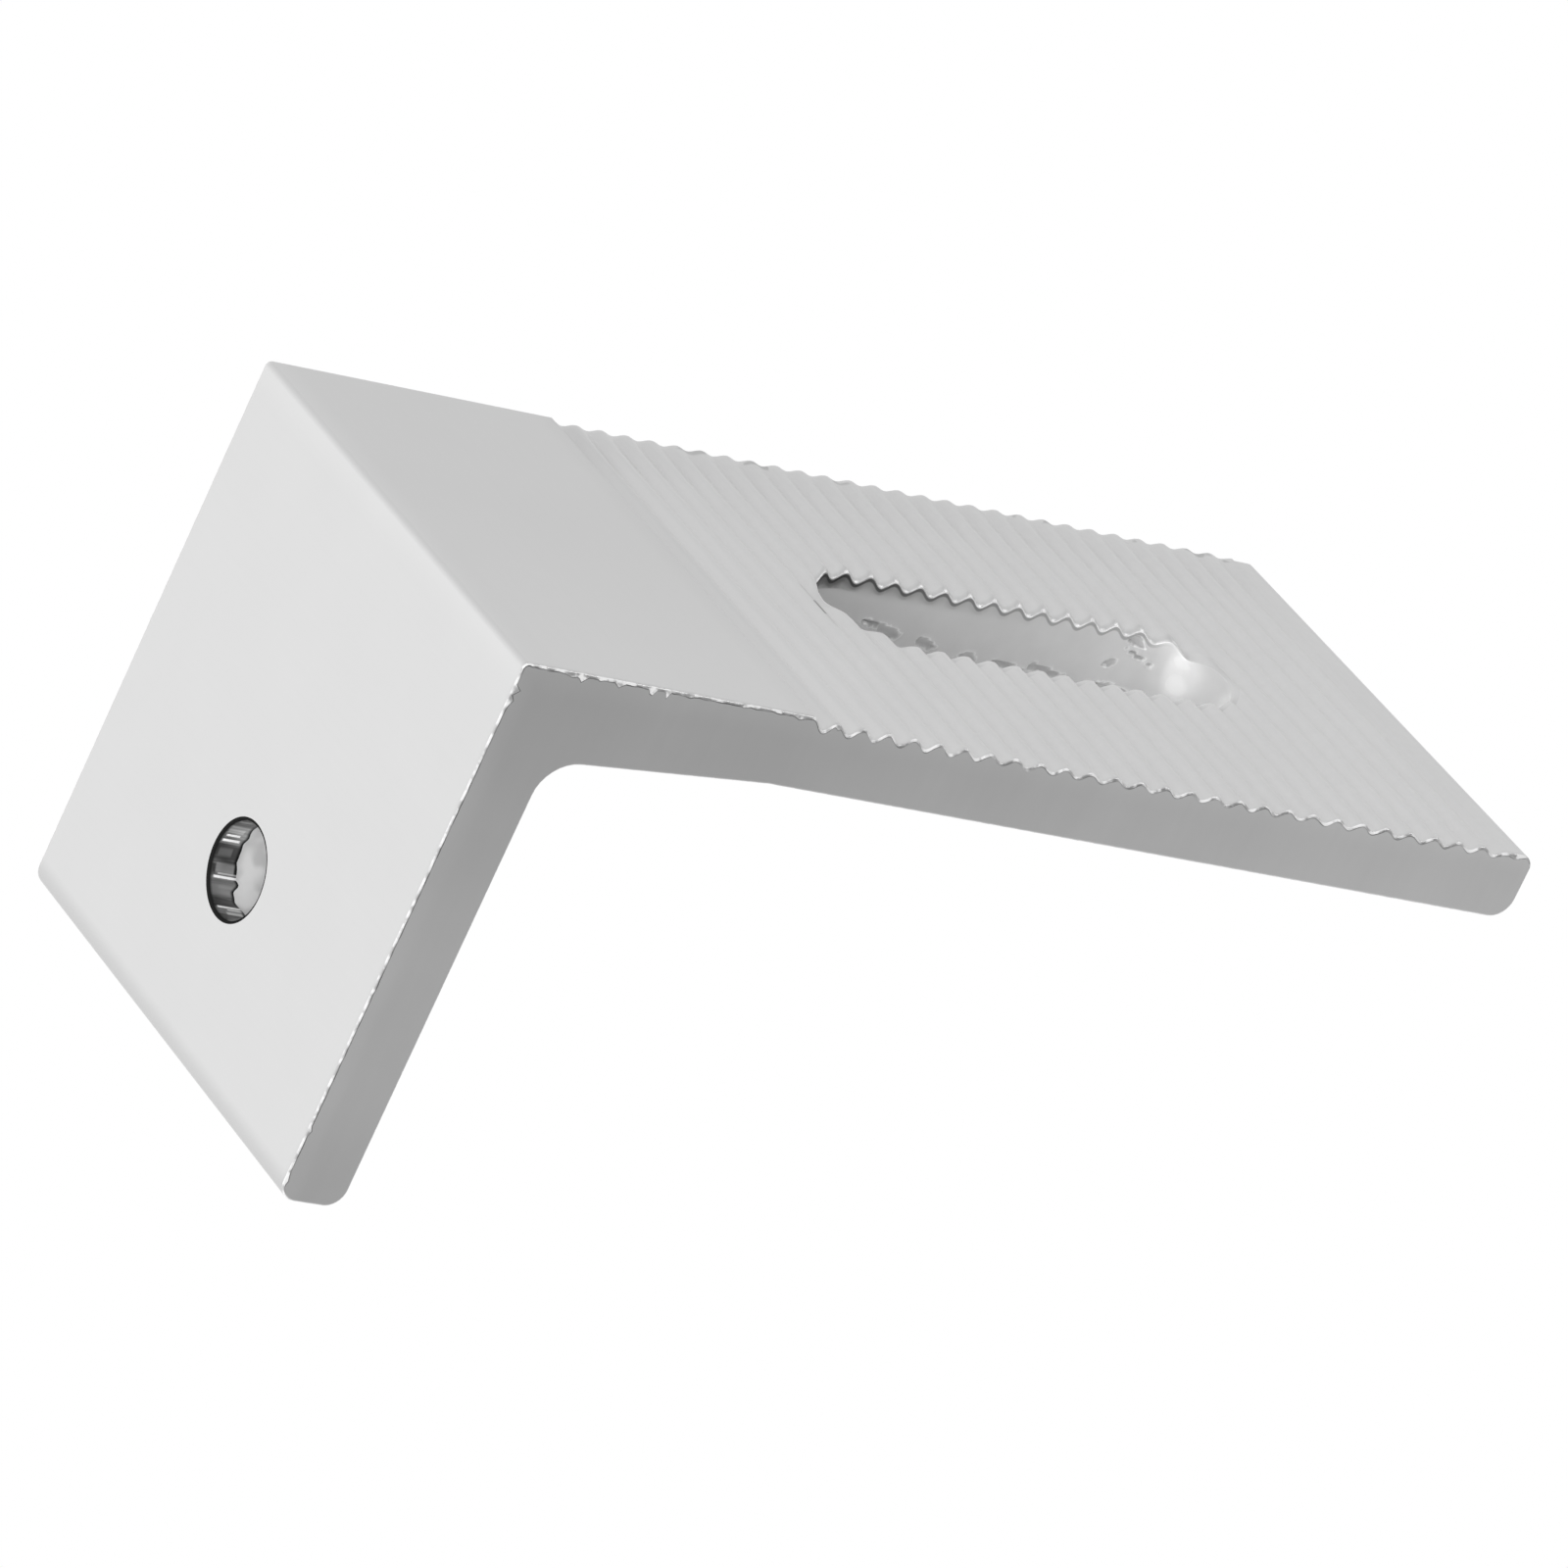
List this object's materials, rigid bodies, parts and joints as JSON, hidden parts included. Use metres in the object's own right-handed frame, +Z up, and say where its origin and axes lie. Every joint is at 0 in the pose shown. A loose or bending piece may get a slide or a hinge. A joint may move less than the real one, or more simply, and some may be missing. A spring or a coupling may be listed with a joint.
{
  "type": "solar l foot bracket",
  "caption": "L-shaped aluminium mounting foot: the upright leg is toothed and slotted for a rail bolt, and the flat foot has a round hole for a roof fastener.",
  "frame": {"origin": "middle of the foot's flat bearing face, which lies on z = 0 as it does on the roof", "axes": "+Z up the leg, +X from the heel to the foot's free end, +Y along the sawn width; the leg's toothed outer face looks towards -X"},
  "size_m": [0.0406, 0.04, 0.084],
  "materials": {
    "mill_aluminium": "satin mill finish, with sawn sides and punched openings"
  },
  "bodies": {
    "root": {"l_foot_bracket": "mill_aluminium"}
  },
  "joints": []
}
